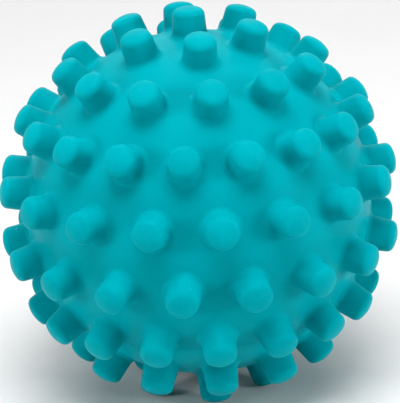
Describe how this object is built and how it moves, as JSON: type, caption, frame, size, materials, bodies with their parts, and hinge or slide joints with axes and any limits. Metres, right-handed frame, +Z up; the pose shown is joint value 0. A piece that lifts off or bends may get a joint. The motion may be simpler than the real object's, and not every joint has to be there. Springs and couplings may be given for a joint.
{
  "type": "massage ball",
  "caption": "Hollow vinyl massage ball covered in blunt round studs, with an air valve and its pull-out plug at one pole.",
  "frame": {"origin": "on the table, straight below the ball's centre, where the ball stands on the six studs round its valve", "axes": "+Z up along the polar axis, from the valve to the stud at the upper pole; +X towards a stud of the second ring above the equator"},
  "size_m": [0.0994, 0.0993, 0.098],
  "materials": {
    "skin": "satin soft vinyl, turquoise",
    "valve_seat": "satin soft vinyl, a little darker than the skin",
    "valve_plug": "satin, firmer vinyl"
  },
  "bodies": {
    "ball": {"skin": "skin", "valve_seat": "valve_seat"},
    "plug": {"valve_plug": "valve_plug"}
  },
  "joints": [
    {"name": "plug_pull", "type": "slide", "parent": "ball", "child": "plug", "axis": [0, 0, -1], "range_m": [0, 0.012]}
  ]
}
